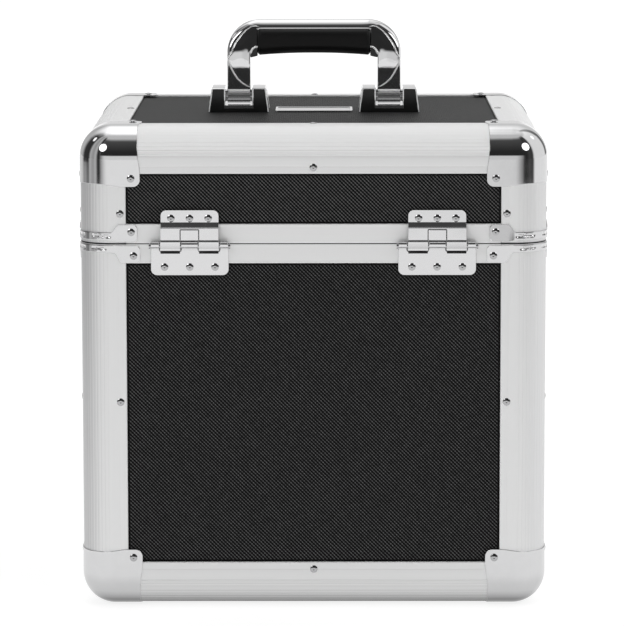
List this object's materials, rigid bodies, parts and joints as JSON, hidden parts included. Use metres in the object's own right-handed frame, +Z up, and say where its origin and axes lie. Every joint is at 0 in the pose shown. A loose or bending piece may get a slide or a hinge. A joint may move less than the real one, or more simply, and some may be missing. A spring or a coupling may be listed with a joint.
{
  "type": "record carrying case",
  "caption": "Aluminium-edged carrying case for records with black textured panels, chromed corner caps, a hinged lid, latches and a folding top handle.",
  "frame": {"origin": "centre of the base, on the surface the case stands on", "axes": "+Z up, +X along the hinge line, -Y out of the hinge side, +Y out of the latch side"},
  "size_m": [0.3648, 0.3609, 0.448],
  "materials": {
    "black_laminate": "textured diamond grain",
    "aluminium_extrusion": "satin anodised, fluted edges",
    "chromed_steel": "polished",
    "hardware_steel": "bright zinc plate",
    "fastener_steel": "bright",
    "lining_foam": "closed-cell foam",
    "black_plastic": "smooth",
    "badge_metal": "bright",
    "grip_rubber": "smooth matt"
  },
  "bodies": {
    "case_body": {"body_back_panel": "black_laminate", "body_front_panel": "black_laminate", "body_left_panel": "black_laminate", "body_right_panel": "black_laminate", "base_panel": "black_laminate", "body_corner_profiles": "aluminium_extrusion", "base_edge_profiles": "aluminium_extrusion", "body_rim_profiles": "aluminium_extrusion", "base_corner_caps": "chromed_steel", "body_rim_straps": "chromed_steel", "hinge_lower_leaves": "hardware_steel", "hinge_pins": "fastener_steel", "body_wall_lining": "lining_foam", "base_pad": "lining_foam", "latch_base_plates": "hardware_steel", "latch_pivot_pins": "fastener_steel", "body_rivets": "fastener_steel"},
    "lid": {"lid_top_panel": "black_laminate", "lid_back_panel": "black_laminate", "lid_front_panel": "black_laminate", "lid_left_panel": "black_laminate", "lid_right_panel": "black_laminate", "lid_edge_profiles": "aluminium_extrusion", "lid_corner_profiles": "aluminium_extrusion", "lid_rim_profiles": "aluminium_extrusion", "lid_corner_caps": "chromed_steel", "lid_rim_straps": "chromed_steel", "hinge_upper_leaves": "hardware_steel", "lid_wall_lining": "lining_foam", "lid_top_pad": "lining_foam", "handle_brackets": "chromed_steel", "bracket_inserts": "black_plastic", "handle_backing_plates": "hardware_steel", "handle_screws": "fastener_steel", "handle_axles": "fastener_steel", "badge_plate": "badge_metal", "latch_strike_plates": "hardware_steel", "lid_rivets": "fastener_steel"},
    "handle": {"handle_frame": "chromed_steel", "handle_grip": "grip_rubber"},
    "latch_lever_left": {"latch_lever_left": "hardware_steel", "hook_pin_left": "fastener_steel"},
    "latch_hook_left": {"latch_hook_left": "hardware_steel"},
    "lock_barrel_left": {"lock_barrel_left": "chromed_steel"},
    "latch_lever_right": {"latch_lever_right": "hardware_steel", "hook_pin_right": "fastener_steel"},
    "latch_hook_right": {"latch_hook_right": "hardware_steel"},
    "lock_barrel_right": {"lock_barrel_right": "chromed_steel"}
  },
  "joints": [
    {"name": "lid_hinge", "type": "hinge", "parent": "case_body", "child": "lid", "pos_m": [0, -0.175, 0.285], "axis": [1, 0, 0], "range_deg": [0, 100]},
    {"name": "handle_fold", "type": "hinge", "parent": "lid", "child": "handle", "pos_m": [0, 0, 0.3885], "axis": [1, 0, 0], "range_deg": [-80, 80]},
    {"name": "latch_left_lever", "type": "hinge", "parent": "case_body", "child": "latch_lever_left", "pos_m": [-0.095, 0.178, 0.262], "axis": [1, 0, 0], "range_deg": [0, 100]},
    {"name": "latch_left_hook", "type": "hinge", "parent": "latch_lever_left", "child": "latch_hook_left", "pos_m": [-0.095, 0.178, 0.251], "axis": [1, 0, 0], "range_deg": [-100, 0]},
    {"name": "lock_left_turn", "type": "hinge", "parent": "latch_lever_left", "child": "lock_barrel_left", "pos_m": [-0.095, 0.179, 0.231], "axis": [0, 1, 0], "range_deg": [0, 90]},
    {"name": "latch_right_lever", "type": "hinge", "parent": "case_body", "child": "latch_lever_right", "pos_m": [0.095, 0.178, 0.262], "axis": [1, 0, 0], "range_deg": [0, 100]},
    {"name": "latch_right_hook", "type": "hinge", "parent": "latch_lever_right", "child": "latch_hook_right", "pos_m": [0.095, 0.178, 0.251], "axis": [1, 0, 0], "range_deg": [-100, 0]},
    {"name": "lock_right_turn", "type": "hinge", "parent": "latch_lever_right", "child": "lock_barrel_right", "pos_m": [0.095, 0.179, 0.231], "axis": [0, 1, 0], "range_deg": [0, 90]}
  ],
  "couplings": [
    {"joint": "latch_left_hook", "follows": "latch_left_lever", "ratio": -1},
    {"joint": "latch_right_hook", "follows": "latch_right_lever", "ratio": -1}
  ]
}
